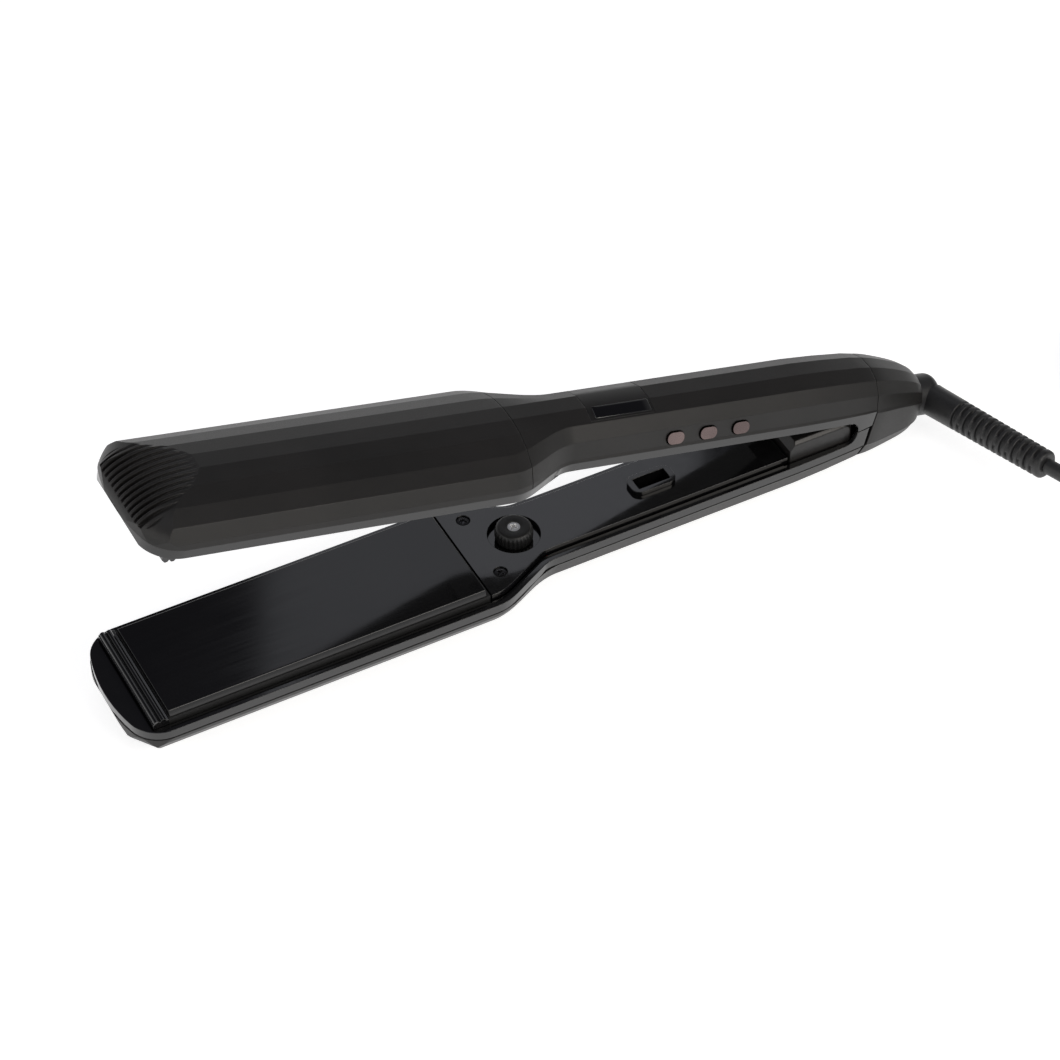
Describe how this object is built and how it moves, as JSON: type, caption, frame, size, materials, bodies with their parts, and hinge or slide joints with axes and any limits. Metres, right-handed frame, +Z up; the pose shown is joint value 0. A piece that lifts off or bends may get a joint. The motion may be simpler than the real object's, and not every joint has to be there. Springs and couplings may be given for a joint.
{
  "type": "flat iron",
  "caption": "Hair flat iron lying open: two faceted arms on a rear hinge, heated plates, display and buttons on the handle, swivel cord with a stored coil and plug.",
  "frame": {"origin": "on the surface the iron lies on, under the lower handle's flat underside, just behind the neck", "axes": "+X from the tip to the cord end, +Y across the iron, +Z up"},
  "size_m": [0.4789, 0.1142, 0.099],
  "materials": {
    "cover": "satin charcoal",
    "gloss": "gloss black",
    "plate": "ceramic coated, gloss dark",
    "inner": "moulded black",
    "lens": "gloss black lens",
    "button": "rose grey metallic",
    "knob": "knurled black",
    "steel": "brushed",
    "bronze": "bearing bronze",
    "silicone": "grey silicone",
    "board": "green board",
    "heater": "white ceramic",
    "wire": "red silicone wire",
    "cord": "satin black",
    "blade": "polished brass"
  },
  "bodies": {
    "root": {"button_board": "board", "button_switch_1": "inner", "button_switch_2": "inner", "button_switch_3": "inner", "contact_rings": "bronze", "cord": "cord", "cord_coil": "cord", "cord_tail": "cord", "cord_tie": "cord", "display_lens": "lens", "display_module": "inner", "guide_peg": "inner", "hinge_bracket": "steel", "hinge_pin": "steel", "hinge_spring": "steel", "main_circuit_board": "board", "plug_blade_left": "blade", "plug_blade_right": "blade", "plug_body": "cord", "plug_relief": "cord", "rear_cap": "cover", "temperature_sensor": "inner", "thermal_fuse": "steel", "upper_cushion_front": "silicone", "upper_cushion_rear": "silicone", "upper_frame": "gloss", "upper_handle_cover": "cover", "upper_head_cover": "cover", "upper_heater": "heater", "upper_heater_leads": "wire", "upper_panel": "gloss", "upper_panel_screws": "steel", "upper_plate": "plate", "upper_plate_carrier": "inner", "upper_tip_bar": "inner"},
    "lower_arm": {"guide_socket": "inner", "hinge_block": "inner", "hinge_bushing": "bronze", "hinge_tongue": "steel", "knob_seat": "inner", "lower_cushion_front": "silicone", "lower_cushion_rear": "silicone", "lower_frame": "gloss", "lower_handle_cover": "cover", "lower_head_cover": "cover", "lower_heater": "heater", "lower_heater_leads": "wire", "lower_panel": "gloss", "lower_panel_screws": "steel", "lower_plate": "plate", "lower_plate_carrier": "inner", "lower_tip_bar": "inner"},
    "button_1_body": {"button_1": "button"},
    "button_2_body": {"button_2": "button"},
    "button_3_body": {"button_3": "button"},
    "knob": {"gap_knob": "knob", "knob_screw": "steel"},
    "swivel": {"swivel_stub": "cord", "cord_sleeve": "cord"}
  },
  "joints": [
    {"name": "arm_hinge", "type": "hinge", "parent": "root", "child": "lower_arm", "pos_m": [0.107, 0, 0.0197], "axis": [0, 1, 0], "range_deg": [0, 14.28], "stiffness_Nm_per_rad": 1, "springref_deg": -28.65},
    {"name": "button_1_press", "type": "slide", "parent": "root", "child": "button_1_body", "axis": [-0.0795, 0.9466, -0.3123], "range_m": [0, 0.0005], "stiffness_N_per_m": 600, "springref_m": -0.0005},
    {"name": "button_2_press", "type": "slide", "parent": "root", "child": "button_2_body", "axis": [-0.0795, 0.9466, -0.3123], "range_m": [0, 0.0005], "stiffness_N_per_m": 600, "springref_m": -0.0005},
    {"name": "button_3_press", "type": "slide", "parent": "root", "child": "button_3_body", "axis": [-0.0795, 0.9466, -0.3123], "range_m": [0, 0.0005], "stiffness_N_per_m": 600, "springref_m": -0.0005},
    {"name": "knob_turn", "type": "hinge", "parent": "lower_arm", "child": "knob", "pos_m": [-0.0148, 0, 0.0197], "axis": [0, 0, 1], "range_deg": [-90, 90]},
    {"name": "cord_swivel", "type": "hinge", "parent": "root", "child": "swivel", "pos_m": [0.13898, 0, 0.01156], "axis": [-0.9691, 0, 0.2467], "continuous": true}
  ]
}
